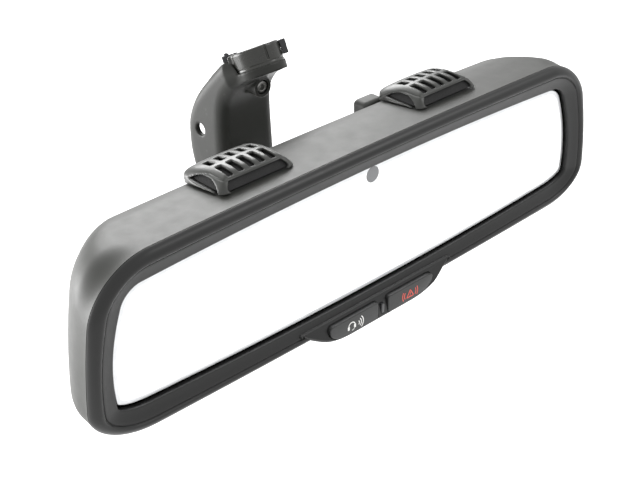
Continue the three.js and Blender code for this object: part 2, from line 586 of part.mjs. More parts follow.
const setScrew = () => solid(rod(2.5, BOSS.frontY + 0.6, 73.6, 0, BOSS.z, 20)).subtract(
  solid(new THREE.CylinderGeometry(1.3, 1.3, 4, 6).translate(0, BOSS.frontY + 0.6, BOSS.z)));

// The retaining clip's two ears stand at one diagonal of the collar
const EAR_ANGLE = Math.atan2(0.632, -0.775);
const EAR_REACH = 13.6;
const EAR_DEPTH = 3.3;           // stays well above the seat, which the windscreen button fills
function ear(side, halfWidth, depth) {
  const [angle, top] = side < 0 ? [EAR_ANGLE, 0.6] : [EAR_ANGLE + Math.PI, -1];
  return box(6.9, EAR_REACH, -halfWidth, halfWidth, -depth, top).rotateZ(angle);
}

function mountCollar() {
  const ring = standing([[0, -COLLAR_HEIGHT], [COLLAR_RADIUS - 0.8, -COLLAR_HEIGHT],
    [COLLAR_RADIUS, -COLLAR_HEIGHT + 0.8], [COLLAR_RADIUS, -0.6], [COLLAR_RADIUS - 0.6, 0],
    [COLLAR_BORE, 0], [COLLAR_BORE, -SEAT_DEPTH], [0, -SEAT_DEPTH]], 36);
  const slots = [-1, 1].map((side) => solid(fromCollar(
    ear(side, 1.4, EAR_DEPTH + GAP).translate(0, 0, side < 0 ? 0 : GAP))));
  return cut(solid(fromCollar(ring)), ...slots);
}

function retainingClip() {
  const band = standing([[6.7, -EAR_DEPTH], [7.3, -EAR_DEPTH], [7.3, -0.8], [6.7, -0.8]], 36);
  const ears = [-1, 1].map((side) => solid(fromCollar(ear(side, 1.1, EAR_DEPTH))));
  return join(solid(fromCollar(band)), ...ears);
}

// ---- assembly ----
const mirrorAssembly = new THREE.Group();
const fromGlass = new THREE.Group();
fromGlass.position.set(0, -COLLAR_TOP.y + SEAT_DEPTH * Math.sin(SEAT_TILT),
  -COLLAR_TOP.z + SEAT_DEPTH * Math.cos(SEAT_TILT));
mirrorAssembly.add(fromGlass);

function add(name, manifold, material, x = 0, z = 0) {
  const mesh = new THREE.Mesh(toGeometry(manifold), material);
  mesh.name = name;
  mesh.position.set(x, 0, z);
  fromGlass.add(mesh);
}

add('bezel', bezel(), darkPlastic);
add('rear_housing', rearHousing(), plastic);
add('front_glass', frontGlass(), mirror);
add('edge_seal', edgeSeal(), darkPlastic);
add('rear_glass', rearGlass(), mirror);
add('foam_tape', foamTape(), rubber);
add('carrier_plate', carrierPlate(), darkPlastic);
add('socket_housing', socketHousing(), darkPlastic);
HUB_SCREWS.forEach(([x, z], i) => add(`hub_screw_${i + 1}`, hubScrew(), steel, x, z));
SCREW_SPOTS.forEach(([x, z], i) => add(`housing_screw_${i + 1}`, housingScrew(), blackSteel, x, z));
add('circuit_board', circuitBoard(), board);
add('control_chip', controlChip(), darkPlastic);
add('glare_sensor', glareSensor(), lens);
add('ambient_sensor', ambientSensor(), darkPlastic);
add('ambient_lens', ambientLens(), lens);
add('left_button', button(LEFT_BUTTON, -SWITCH_X), darkPlastic);
add('right_button', button(RIGHT_BUTTON, SWITCH_X), darkPlastic);
add('light_pipe', lightPipe(), lens);
add('button_board', buttonBoard(), board);
add('left_switch', tactSwitch(-SWITCH_X), steel);
add('right_switch', tactSwitch(SWITCH_X), steel);
add('indicator_led', indicatorLed(), nylon);
for (const [side, x] of [['left', -MIC_X], ['right', MIC_X]]) {
  add(`mic_cover_${side}`, micCover(), plastic, x);
  add(`mic_boot_${side}`, micBoot(), rubber, x);
  add(`mic_capsule_${side}`, micCapsule(), steel, x);
}
add('connector_shroud', connectorShroud(), darkPlastic);
pinXs.forEach((x, i) => add(`connector_pin_${i + 1}`, connectorPin(x), steel));
add('ball_liner', ballLiner(), nylon);
add('pressure_cup', pressureCup(), nylon);
add('disc_spring', discSpring(), steel);
add('ball_stud', ballStud(), steel);
add('stud_nut', studNut(), steel);
add('arm', arm(), castMetal);
add('mount_collar', mountCollar(), castMetal);
add('retaining_clip', retainingClip(), blackSteel);
add('set_screw', setScrew(), blackSteel);

export default mirrorAssembly;
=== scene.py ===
"""Looks of the interior rearview mirror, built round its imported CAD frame.

Pieces are laid out in millimetres from the middle of the glass opening (Y 0 is the plane of
the opening, +Y towards the windscreen) and moved to the row frame, in metres, by place().
"""
import json
import math

import bmesh
import bpy
import numpy as np
from mathutils import Matrix, Vector


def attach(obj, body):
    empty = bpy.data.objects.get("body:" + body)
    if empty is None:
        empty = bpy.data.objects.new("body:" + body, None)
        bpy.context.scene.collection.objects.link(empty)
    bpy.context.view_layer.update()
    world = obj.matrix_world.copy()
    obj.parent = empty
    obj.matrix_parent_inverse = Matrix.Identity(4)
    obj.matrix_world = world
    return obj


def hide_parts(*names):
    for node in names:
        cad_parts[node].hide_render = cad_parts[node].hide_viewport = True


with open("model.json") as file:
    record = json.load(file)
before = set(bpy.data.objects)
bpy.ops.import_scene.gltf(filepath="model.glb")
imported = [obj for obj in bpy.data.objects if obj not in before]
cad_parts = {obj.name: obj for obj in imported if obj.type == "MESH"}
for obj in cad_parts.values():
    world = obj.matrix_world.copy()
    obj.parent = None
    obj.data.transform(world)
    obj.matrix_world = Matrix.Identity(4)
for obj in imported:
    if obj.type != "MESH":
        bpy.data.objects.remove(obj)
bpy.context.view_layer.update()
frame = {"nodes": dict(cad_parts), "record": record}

# ---- layout shared with the CAD part, mm ----
SEAT_TILT = math.radians(27.3)
COLLAR_TOP = np.array([0.0, 68.6, 54.8])
SEAT_DEPTH = 6.0
SHIFT = -COLLAR_TOP + SEAT_DEPTH * np.array([0.0, math.sin(SEAT_TILT), math.cos(SEAT_TILT)])
SEAM_Y = 0.6
BALL_Y = 44.0
ARM_FRONT_Y = 74.4
OPENING = dict(half_w=117.6, half_h=23.4, top=3.6, bottom=3.5, side=3.8, taper=-3.9, lift=0.0,
               top_trim=(6, 5.5), low_trim=(13, 4))
OUTER = dict(half_w=129.2, half_h=33.8, top=1.8, bottom=1.5, side=2.4, taper=-4.4, lift=0.8,
             top_trim=(22, 19), low_trim=(26, 17))
OUTER_TOP = OUTER["lift"] + OUTER["half_h"] + OUTER["top"]
OUTER_BACK = {**OUTER, "top_trim": (15, 14), "low_trim": (24, 16)}
SQUARE_DEPTH = 12.0
SECTIONS = [(0.9, 0, 0), (11, 1.4, 0.7), (20, 5.7, 1.4), (27, 11.6, 2.5), (32.5, 18, 4.9),
            (36, 26, 8.7), (38, 36, 14.2)]
SCREWS = [(-66, 14), (66, 14), (-66, -14), (66, -14)]
MIC_X = 49.5
MIC_FRONT_Y = 7.5
MIC_BACK_Y = 34.0
HOUSING_FRONT_Y = 0.9
HOUSING_WALL = 2.2
CHIN_FRONT_Y = -4.2
CHIN_EDGE = 1.3
BUTTON_FRONT_Y = -4.5
BUTTON_EDGE = 0.45
SWITCH_X, SWITCH_Z = 15.5, -34.5
EDGE_STEPS = 6
COLLAR_R = 10.1
CLIP_ANGLE = math.atan2(0.632, -0.775)
BOSS_Z = 39.0
PLUG_LOW, PLUG_HIGH = (28.5, 34.0, 19.4), (40.2, 42.5, 31.6)
AMBIENT_AT = (-34, 10)


def place(points):
    """Layout millimetres to the row frame in metres."""
    return (np.asarray(points, float) + SHIFT) / 1000


def from_collar(points):
    """The collar's own frame, +Z out of the seat, to layout millimetres."""
    p = np.asarray(points, float)
    c, s = math.cos(SEAT_TILT), math.sin(SEAT_TILT)
    out = p.copy()
    out[..., 1] = c * p[..., 1] + s * p[..., 2]
    out[..., 2] = -s * p[..., 1] + c * p[..., 2]
    return out + COLLAR_TOP


# ---- materials ----
def material(name, colour, rough, metal=0.0, grain=(2500, 0.12), mottle=(60, 0.05), fine=None,
             specular=0.5, coat=0.0, edge_highlight=0.0, **extra):
    """A Principled material with grain bump, slow colour and roughness changes and a painted highlight
    that lightens its sharp edges.

    grain and mottle are (scale, strength); fine is the height of the grain in metres.
    """
    m = bpy.data.materials.new(name)
    m.use_nodes = True
    nt = m.node_tree
    b = nt.nodes["Principled BSDF"]
    b.inputs["Base Color"].default_value = (*colour, 1)
    b.inputs["Metallic"].default_value = metal
    b.inputs["Specular IOR Level"].default_value = specular
    b.inputs["Coat Weight"].default_value = coat
    for key, value in extra.items():
        b.inputs[key.replace("_", " ")].default_value = value
    new, link = nt.nodes.new, nt.links.new
    coord = new("ShaderNodeTexCoord")

    def noise(scale, detail):
        n = new("ShaderNodeTexNoise")
        n.inputs["Scale"].default_value = scale
        n.inputs["Detail"].default_value = detail
        n.inputs["Roughness"].default_value = 0.6
        link(coord.outputs["Object"], n.inputs["Vector"])
        return n

    slow = noise(mottle[0], 4)
    spread = new("ShaderNodeMapRange")
    spread.inputs["From Min"].default_value = 0.3
    spread.inputs["From Max"].default_value = 0.7
    spread.inputs["To Min"].default_value = 1 - mottle[1]
    spread.inputs["To Max"].default_value = 1 + mottle[1]
    link(slow.outputs["Fac"], spread.inputs["Value"])
    shade = new("ShaderNodeMix")
    shade.data_type = "RGBA"
    shade.blend_type = "MULTIPLY"
    shade.inputs["Factor"].default_value = 1
    shade.inputs[6].default_value = (*colour, 1)
    link(spread.outputs["Result"], shade.inputs[7])
    top = shade.outputs[2]
    # painted highlight: edges found by pointiness take a lighter colour, standing in for the light
    # they catch
    if edge_highlight:
        geo = new("ShaderNodeNewGeometry")
        edge = new("ShaderNodeMapRange")
        edge.inputs["From Min"].default_value = 0.52
        edge.inputs["From Max"].default_value = 0.62
        link(geo.outputs["Pointiness"], edge.inputs["Value"])
        lit_edge = new("ShaderNodeMix")
        lit_edge.data_type = "RGBA"
        lit_edge.inputs[7].default_value = (*[min(1, c * 1.6 + 0.02) for c in colour], 1)
        amount = new("ShaderNodeMath")
        amount.operation = "MULTIPLY"
        amount.inputs[1].default_value = edge_highlight
        link(edge.outputs["Result"], amount.inputs[0])
        link(amount.outputs["Value"], lit_edge.inputs["Factor"])
        link(top, lit_edge.inputs[6])
        top = lit_edge.outputs[2]
    link(top, b.inputs["Base Color"])
    gloss = new("ShaderNodeMapRange")
    gloss.inputs["From Min"].default_value = 0.3
    gloss.inputs["From Max"].default_value = 0.7
    gloss.inputs["To Min"].default_value = max(0.0, rough - 0.02)
    gloss.inputs["To Max"].default_value = min(1.0, rough + 0.03)
    streak = noise(mottle[0] * 3.3, 3)
    link(streak.outputs["Fac"], gloss.inputs["Value"])
    link(gloss.outputs["Result"], b.inputs["Roughness"])
    if grain[1]:
        bump = new("ShaderNodeBump")
        bump.inputs["Strength"].default_value = grain[1]
        bump.inputs["Distance"].default_value = fine or 0.00006
        g = noise(grain[0], 3)
        link(g.outputs["Fac"], bump.inputs["Height"])
        link(bump.outputs["Normal"], b.inputs["Normal"])
    return m


# the edge value of each material sets the strength of its painted edge highlight
housing_plastic = material("housing_plastic", (0.028, 0.029, 0.0255), 0.50, grain=(2600, 0.22),
                           edge_highlight=0.25)
bezel_plastic = material("bezel_plastic", (0.010, 0.0102, 0.010), 0.36, grain=(3200, 0.12),
                         specular=0.42, edge_highlight=0.2)
pod_plastic = material("pod_plastic", (0.03, 0.031, 0.028), 0.36, grain=(3000, 0.16), edge_highlight=0.35)
arm_paint = material("arm_paint", (0.018, 0.0186, 0.0163), 0.44, grain=(1500, 0.2),
                     specular=0.3, edge_highlight=0.3)
collar_paint = material("collar_paint", (0.024, 0.0245, 0.0215), 0.26, grain=(1800, 0.16),
                        edge_highlight=0.5)
button_face = material("button_face", (0.018, 0.0185, 0.0185), 0.4, grain=(3600, 0.1), edge_highlight=0.3)
# inner_plastic is the dark plastic of inner parts; in the microphone covers it is also painted shade
# on recessed faces
inner_plastic = material("inner_plastic", (0.02, 0.02, 0.02), 0.55, grain=(1500, 0.2))
mark_white = material("mark_white", (0.82, 0.82, 0.80), 0.5, grain=(5000, 0.1),
                      mottle=(300, 0.05))
mark_red = material("mark_red", (0.72, 0.085, 0.055), 0.5, grain=(5000, 0.1), mottle=(300, 0.08))
mirror = material("mirror_silver", (0.95, 0.955, 0.96), 0.02, metal=1.0, grain=(20, 0.0),
                  mottle=(14, 0.006))
rim = material("ground_rim", (0.72, 0.73, 0.74), 0.3, metal=0.9, grain=(4000, 0.25),
               mottle=(200, 0.06))
seal = material("seal_resin", (0.35, 0.36, 0.37), 0.3, grain=(900, 0.1))
rear_silver = material("rear_silver", (0.8, 0.82, 0.83), 0.08, metal=1.0, grain=(60, 0.0),
                       mottle=(20, 0.02))
foam = material("foam", (0.025, 0.025, 0.025), 0.95, grain=(1800, 0.9), fine=0.0003)
pcb = material("solder_mask", (0.015, 0.13, 0.05), 0.32, grain=(900, 0.15), mottle=(220, 0.25),
               coat=0.3)
chip = material("chip_resin", (0.022, 0.022, 0.025), 0.4, grain=(4000, 0.25))
lens = material("smoked_lens", (0.16, 0.165, 0.17), 0.12, grain=(700, 0.03), coat=0.6)
pipe_dark = material("dark_light_pipe", (0.022, 0.022, 0.024), 0.14, grain=(700, 0.03),
                     coat=0.4)
screw_steel = material("grey_steel", (0.34, 0.34, 0.33), 0.3, metal=0.95, grain=(1500, 0.12),
                       mottle=(300, 0.1))
steel = material("bright_steel", (0.6, 0.6, 0.59), 0.26, metal=1.0, grain=(1400, 0.12),
                 mottle=(180, 0.1))
dark_steel = material("black_oxide", (0.05, 0.05, 0.052), 0.33, metal=0.85, grain=(1600, 0.15),
                      edge_highlight=0.5)
contact = material("tinned_contact", (0.75, 0.6, 0.33), 0.22, metal=1.0, grain=(2000, 0.1))
nylon = material("natural_nylon", (0.72, 0.70, 0.62), 0.42, grain=(900, 0.1), Subsurface_Weight=0.1)

BY_SLOT = {
    "bezel_plastic": bezel_plastic, "housing_plastic": housing_plastic, "mirror_glass": rear_silver,
    "seal": seal, "foam": foam, "inner_plastic": inner_plastic, "board": pcb, "chip": chip,
    "sensor_lens": lens, "button_plastic": button_face, "steel": steel, "dark_steel": dark_steel,
    "contact_brass": contact, "liner_nylon": nylon, "cast_metal": arm_paint,
}
slot_of = {row["node"]: row["material_slot"] for row in frame["record"]["subparts"]}


# ---- mesh tools ----
def sharpen(mesh, degrees):
    """Smooth shading, with edges turned by more than this angle kept sharp."""
    bm = bmesh.new()
    bm.from_mesh(mesh)
    for f in bm.faces:
        f.smooth = True
    for e in bm.edges:
        e.smooth = len(e.link_faces) == 2 and e.calc_face_angle(0) < math.radians(degrees)
    bm.to_mesh(mesh)
    bm.free()


def make(name, points, faces, mats, indices=None, sharp=32):
    """An object from layout points; mats is one material or a list with one index per face."""
    mesh = bpy.data.meshes.new(name)
    mesh.from_pydata(place(points).tolist(), [], [list(map(int, f)) for f in faces])
    mats = mats if isinstance(mats, list) else [mats]
    for m in mats:
        mesh.materials.append(m)
    if indices is not None:
        mesh.polygons.foreach_set("material_index", np.asarray(indices, np.int32))
    bm = bmesh.new()
    bm.from_mesh(mesh)
    bmesh.ops.recalc_face_normals(bm, faces=bm.faces)
    bm.to_mesh(mesh)
    bm.free()
    sharpen(mesh, sharp)
    o = bpy.data.objects.new(name, mesh)
    bpy.context.scene.collection.objects.link(o)
    return o


def settle(o):
    """Bakes the object's modifiers into its mesh."""
    dg = bpy.context.evaluated_depsgraph_get()
    mesh = bpy.data.meshes.new_from_object(o.evaluated_get(dg))
    o.modifiers.clear()
    o.data = mesh
    return o


def boolean(o, cutters, operation="DIFFERENCE"):
    """Cuts the other objects from this one, or joins them to it, and removes them."""
    for c in cutters:
        m = o.modifiers.new("bool", "BOOLEAN")
        m.operation, m.solver, m.object = operation, "MANIFOLD", c
        bpy.context.view_layer.update()
        settle(o)
        bpy.data.objects.remove(c)
    return o


def shown(o, body, *nodes, slot=None):
    """Puts the piece on a body, in place of CAD nodes."""
    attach(o, body)
    if nodes:
        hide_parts(*nodes)
    return o


def loft(rings, closed):
    """Points and faces of a skin through rings of equal length; open ends are capped."""
    n = len(rings[0])
    points = np.concatenate([np.asarray(r, float) for r in rings])
    faces = []
    for i in range(len(rings) if closed else len(rings) - 1):
        a, b = i * n, ((i + 1) % len(rings)) * n
        faces += [(a + j, a + (j + 1) % n, b + (j + 1) % n, b + j) for j in range(n)]
    if not closed:
        faces += [tuple(range(n))[::-1], tuple(range((len(rings) - 1) * n, len(rings) * n))]
    return points, faces


def turned(profile, segments=96, centre=(0, 0), axis="y"):
    """A closed (radius, along) profile turned round Y or Z; points at radius 0 close up."""
    angles = np.linspace(0, 2 * math.pi, segments, endpoint=False)
    rings = []
    for r, t in profile:
        r = max(r, 0.004)
        c, s = r * np.cos(angles), r * np.sin(angles)
        rings.append(np.stack([c + centre[0], np.full_like(c, t), s + centre[1]] if axis == "y"
                              else [c + centre[0], s + centre[1], np.full_like(c, t)], 1))
    return loft(rings, True)


def outline(o, edge=44, side=14, corner=16):
    """The front outline (x, z), clockwise from the top left: bowed edges, rounded corners."""
    w, h, lift = o["half_w"], o["half_h"], o["lift"]
    top_x, low_x = w + o["taper"] - o["top_trim"][0], w - o["taper"] - o["low_trim"][0]
    top_z, low_z = h - o["top_trim"][1], -h + o["low_trim"][1]

    def top(x):
        return np.stack([x, lift + h + o["top"] * (1 - (x / w) ** 2)], 1)

    def bottom(x):
        return np.stack([x, lift - h - o["bottom"] * (1 - (x / w) ** 2)], 1)

    def side_at(z, sign):
        return np.stack([sign * (w + o["taper"] * z / h + o["side"] * (1 - (z / h) ** 2)), z], 1)

    runs = [top(np.linspace(-top_x, top_x, edge)), side_at(np.linspace(top_z, low_z, side), 1),
            bottom(np.linspace(low_x, -low_x, edge)), side_at(np.linspace(low_z, top_z, side), -1)]
    out = []
    t = np.linspace(0, 1, corner + 1)[1:-1, None]
    for i, run in enumerate(runs):
        after = runs[(i + 1) % 4]
        a, b = run[-1], after[0]
        da, db = run[-1] - run[-2], after[1] - after[0]
        k = np.linalg.solve(np.stack([da, -db], 1), b - a)
        tip = a + da * k[0]
        p, q = a + (tip - a) * 0.5523, b + (tip - b) * 0.5523
        curve = (1 - t) ** 3 * a + 3 * (1 - t) ** 2 * t * p + 3 * (1 - t) * t ** 2 * q + t ** 3 * b
        out += [run, curve]
    return np.concatenate(out)


def grown(points, distance):
    """Moves each point of a clockwise outline outwards."""
    p = np.asarray(points, float)
    d0 = p - np.roll(p, 1, 0)
    d1 = np.roll(p, -1, 0) - p
    a, b = np.arctan2(d0[:, 1], d0[:, 0]), np.arctan2(d1[:, 1], d1[:, 0])
    half = np.arctan2(np.sin(b - a), np.cos(b - a)) / 2
    normal = a + half + math.pi / 2
    reach = distance / np.cos(half)
    return p + np.stack([reach * np.cos(normal), reach * np.sin(normal)], 1)


def clockwise(p):
    """The outline with its points in clockwise order."""
    p = np.asarray(p, float)
    q = np.roll(p, -1, 0)
    return p if (p[:, 0] * q[:, 1] - q[:, 0] * p[:, 1]).sum() < 0 else p[::-1]


def rounded(points, trims, steps=8):
    """A polygon with rounded corners; trims is one value or one per corner."""
    p = clockwise(points)
    flipped = not np.allclose(p, np.asarray(points, float))
    trims = list(trims) if hasattr(trims, "__len__") else [trims] * len(p)
    trims = trims[::-1] if flipped else trims
    t = np.linspace(0, 1, steps + 1)[:, None]
    out = []
    for i, v in enumerate(p):
        ends = []
        for w in (p[i - 1], p[(i + 1) % len(p)]):
            d = np.linalg.norm(w - v)
            ends.append(v + (w - v) / d * min(trims[i], d / 2.1))
        out.append((1 - t) ** 2 * ends[0] + 2 * (1 - t) * t * v + t ** 2 * ends[1])
    return np.concatenate(out)


def upright(plan, y):
    """An outline (x, z) as 3-D points at this depth."""
    return np.stack([plan[:, 0], np.full(len(plan), float(y)), plan[:, 1]], 1)


def slab(name, plan, y0, y1, mat, edge=0.0):
    """A flat outline (x, z) made thick along Y, its front edge eased by a small radius."""
    rings = [upright(plan, y0)]
    if edge:
        rings = [upright(grown(plan, edge * math.sin(a) - edge), y0 + edge - edge * math.cos(a))
                 for a in np.linspace(0, math.pi / 2, EDGE_STEPS)]
    return make(name, *loft(rings + [upright(plan, y1)], False), mat)


def ease(table, count):
    """Smooth interpolation of a table's rows against its first column."""
    t = np.array(table, float)
    x = t[:, 0]
    at = np.linspace(x[0], x[-1], count)
    out = [at]
    h = np.diff(x)
    for col in range(1, t.shape[1]):
        y = t[:, col]
        d = np.diff(y) / h
        m = np.concatenate([[d[0]], (d[:-1] * h[1:] + d[1:] * h[:-1]) / (h[1:] + h[:-1]), [d[-1]]])
        i = np.clip(np.searchsorted(x, at, "right") - 1, 0, len(h) - 1)
        s = (at - x[i]) / h[i]
        out.append((2 * s ** 3 - 3 * s ** 2 + 1) * y[i] + (s ** 3 - 2 * s ** 2 + s) * h[i] * m[i]
                   + (3 * s ** 2 - 2 * s ** 3) * y[i + 1] + (s ** 3 - s ** 2) * h[i] * m[i + 1])
    return np.stack(out, 1)


# ---- solids from distance fields ----
def field_mesh(name, f, low, step, mat, transform=None, sharp=180, painted_shade_field=None):
    """The zero surface of the field f on a grid, as one closed quad mesh. Faces where the shade field
    is below zero take the last material, as painted shade."""
    inside = f < 0
    nx, ny, nz = f.shape
    total = np.zeros((nx - 1, ny - 1, nz - 1), int)
    corners = [(i, j, k) for i in (0, 1) for j in (0, 1) for k in (0, 1)]
    for i, j, k in corners:
        total += inside[i:nx - 1 + i, j:ny - 1 + j, k:nz - 1 + k]
    active = (total > 0) & (total < 8)
    ids = np.full(active.shape, -1)
    cells = np.argwhere(active)
    ids[active] = np.arange(len(cells))
    acc, count = np.zeros((len(cells), 3)), np.zeros(len(cells))
    for a in corners:
        for axis in range(3):
            if a[axis]:
                continue
            b = list(a)
            b[axis] = 1
            fa, fb = f[tuple((cells + a).T)], f[tuple((cells + b).T)]
            hit = (fa < 0) != (fb < 0)
            t = fa[hit] / (fa[hit] - fb[hit])
            point = np.tile(np.array(a, float), (hit.sum(), 1))
            point[:, axis] += t
            acc[hit] += point
            count[hit] += 1
    points = (cells + acc / count[:, None]) * step + np.asarray(low, float)
    quads = []
    for axis in range(3):
        u, v = [(1, 2), (2, 0), (0, 1)][axis]
        head = [slice(None)] * 3
        tail = [slice(None)] * 3
        head[axis], tail[axis] = slice(0, -1), slice(1, None)
        change = inside[tuple(head)] != inside[tuple(tail)]
        at = np.argwhere(change)
        at = at[(at[:, [u, v]] > 0).all(1) & (at[:, u] < f.shape[u] - 1)
                & (at[:, v] < f.shape[v] - 1)]
        du, dv = np.eye(3, dtype=int)[u], np.eye(3, dtype=int)[v]
        q = np.stack([ids[tuple((at - du - dv).T)], ids[tuple((at - dv).T)], ids[tuple(at.T)],
                      ids[tuple((at - du).T)]], 1)
        out = inside[tuple(at.T)]
        q[~out] = q[~out][:, ::-1]
        quads.append(q)
    quads = np.concatenate(quads)
    kinds = None
    # painted shade: faces where this field is below zero take the last, dark material
    if painted_shade_field is not None:
        at = np.rint((points - np.asarray(low)) / step).astype(int)
        at = np.clip(at, 0, np.array(f.shape) - 1)
        kinds = (painted_shade_field[tuple(at.T)][quads].mean(1) < 0).astype(int)
    if transform is not None:
        points = transform(points)
    return make(name, points, quads, mat, kinds, sharp=sharp)


def smax(a, b, k):
    """The larger of two fields, its crease rounded over about k."""
    h = np.maximum(k - np.abs(a - b), 0) / k
    return np.maximum(a, b) + h * h * k / 4


def smin(a, b, k):
    """The smaller of two fields, its crease filled over about k."""
    return -smax(-a, -b, k)


def polygon_field(points, x, y):
    """Signed distance to a closed polygon, negative inside."""
    p = np.asarray(points, float)
    best = np.full(x.shape, 1e9)
    odd = np.zeros(x.shape, bool)
    for a, b in zip(p, np.roll(p, -1, 0)):
        e, wx, wy = b - a, x - a[0], y - a[1]
        t = np.clip((wx * e[0] + wy * e[1]) / (e @ e), 0, 1)
        best = np.minimum(best, (wx - e[0] * t) ** 2 + (wy - e[1] * t) ** 2)
        cross = (a[1] > y) != (b[1] > y)
        if e[1]:
            odd ^= cross & (x < a[0] + e[0] * (y - a[1]) / e[1])
    return np.where(odd, -1, 1) * np.sqrt(best)


def grid(low, high, step):
    """Coordinates of the points of a field's grid."""
    axes = [np.arange(a, b + step, step) for a, b in zip(low, high)]
    return np.meshgrid(*axes, indexing="ij")


def box_field(x, y, z, low, high, r=0.0):
    """Signed distance to a box with rounded edges."""
    q = [np.abs(c - (a + b) / 2) - (b - a) / 2 + r for c, a, b in zip((x, y, z), low, high)]
    outside = np.sqrt(sum(np.maximum(c, 0) ** 2 for c in q))
    return outside + np.minimum(np.maximum(q[0], np.maximum(q[1], q[2])), 0) - r


def swung(x, y, angle):
    """Coordinates along and across a direction at this angle."""
    c, s = math.cos(angle), math.sin(angle)
    return x * c + y * s, -x * s + y * c


def drive(x, z, degrees):
    """Distance to the middle of a hexagon, measured square to its flats."""
    return np.maximum.reduce([np.abs(x * math.cos(a) + z * math.sin(a)) for a in np.radians(degrees)])


def spline(points, steps):
    """An open Catmull-Rom curve through 2-D points."""
    p = np.asarray(points, float)
    p = np.concatenate([2 * p[:1] - p[1:2], p, 2 * p[-1:] - p[-2:-1]])
    t = np.linspace(0, 1, steps, endpoint=False)[:, None]
    out = [0.5 * ((2 * b) + (c - a) * t + (2 * a - 5 * b + 4 * c - d) * t ** 2
                  + (3 * b - a - 3 * c + d) * t ** 3)
           for a, b, c, d in zip(p[:-3], p[1:-2], p[2:-1], p[3:])]
    return np.concatenate(out + [p[-2:-1]])


# ---- bezel with its chin ----
opening_line = outline(OPENING)
outer_line = outline(OUTER)
outer_back_line = outline(OUTER_BACK)
glass_line = grown(opening_line, -0.9)
CHIN = [(-43, -29.2), (-39.3, -32.3), (-25.8, -39.5), (25.8, -39.5), (39.3, -32.3), (43, -29.2)]
LEFT = [(-28.8, -30.8), (-2.9, -30.8), (-2.9, -38.4), (-23.4, -38.4), (-28.8, -35.5)]
RIGHT = [(2.9, -30.8), (28.8, -30.8), (28.8, -34.2), (23.5, -38.4), (2.9, -38.4)]
left_plan = rounded(LEFT, [1.6, 1.1, 1.1, 4.2, 3.2])
right_plan = rounded(RIGHT, [1.1, 3.2, 2.0, 2.6, 1.1])
PIPE = [(-0.8, -32.8), (0.8, -32.8), (0.8, -37.2), (-0.8, -37.2)]
pipe_plan = rounded(PIPE, 0.76)
chin_plan = rounded(CHIN, [2, 9, 9, 9, 9, 2])


def band(across, y):
    """The ring's outline this far across, from 0 at the opening to 1 at the outside."""
    return upright(opening_line + (outer_line - opening_line) * across, y)


def bezel():
    """Ring round the glass: a sloped inner band, a fine crease and a rounded outer band."""
    front = [(0.0, 0.9), (0.0, 0.45), (0.012, 0.2), (0.04, 0.05), (0.09, -0.05), (0.2, -0.38),
             (0.32, -0.82), (0.42, -1.24), (0.5, -1.58), (0.522, -1.6), (0.54, -1.45), (0.556, -1.5),
             (0.572, -2.0), (0.6, -2.38), (0.65, -2.6), (0.71, -2.62), (0.78, -2.4), (0.85, -1.98),
             (0.91, -1.42), (0.955, -0.8), (0.985, -0.1), (0.998, 0.4), (1.0, SEAM_Y)]
    back = [(0.82, SEAM_Y), (0.82, 3.6), (0.6, 3.6), (0.6, 2.5), (0.0, 2.5)]
    ring = make("bezel_ring", *loft([band(a, y) for a, y in front + back], True), bezel_plastic)
    edge = [(CHIN_EDGE * (1 - math.sin(a)), CHIN_FRONT_Y + CHIN_EDGE * (1 - math.cos(a)))
            for a in np.linspace(0, math.pi / 2, 7)]
    chin = make("chin", *loft([upright(grown(chin_plan, -i), y) for i, y in edge]
                              + [upright(chin_plan, SEAM_Y)], False), bezel_plastic)
    # the chin's face falls back into the band at both its ends
    fade_from, fade_over, fall = 29.5, 11.5, 0.0019
    for v in chin.data.vertices:
        fade = min(1.0, max(0.0, (abs(v.co.x) * 1000 - fade_from) / fade_over))
        if v.co.y * 1000 - SHIFT[1] < -1:
            v.co.y += fall * fade * fade * (3 - 2 * fade)
    boolean(ring, [chin], "UNION")
    cutters = [slab("cut", grown(p, g), -9, 6, bezel_plastic) for p, g in
               ((left_plan, 0.33), (right_plan, 0.33), (pipe_plan, 0.25))]
    hollow = clockwise([(-33, -29.6), (33, -29.6), (33, -34.0), (25.3, -38.1), (-25.3, -38.1),
                        (-33, -34.0)])
    cutters.append(slab("cut", hollow, -1.7, 6, bezel_plastic))
    boolean(ring, cutters)
    sharpen(ring.data, 30)
    shown(ring, "mirror_head", "bezel")


# ---- rear housing ----
def housing_rings(grow, rows, front):
    """The housing's sections, grown sideways; their corners get squarer towards the back."""
    half_x = OUTER["half_w"] + OUTER["side"]
    rings = []
    for i, (y, dx, dz) in enumerate(rows):
        scale = np.array([(half_x - dx + grow) / half_x, (OUTER_TOP - dz + grow) / OUTER_TOP])
        square = min(1.0, max(0.0, (y - HOUSING_FRONT_Y) / SQUARE_DEPTH))
        square = square * square * (3 - 2 * square)
        plan = outer_line + (outer_back_line - outer_line) * square
        rings.append(upright(plan * scale, front if i == 0 else y + grow * i / (len(rows) - 1)))
    return rings


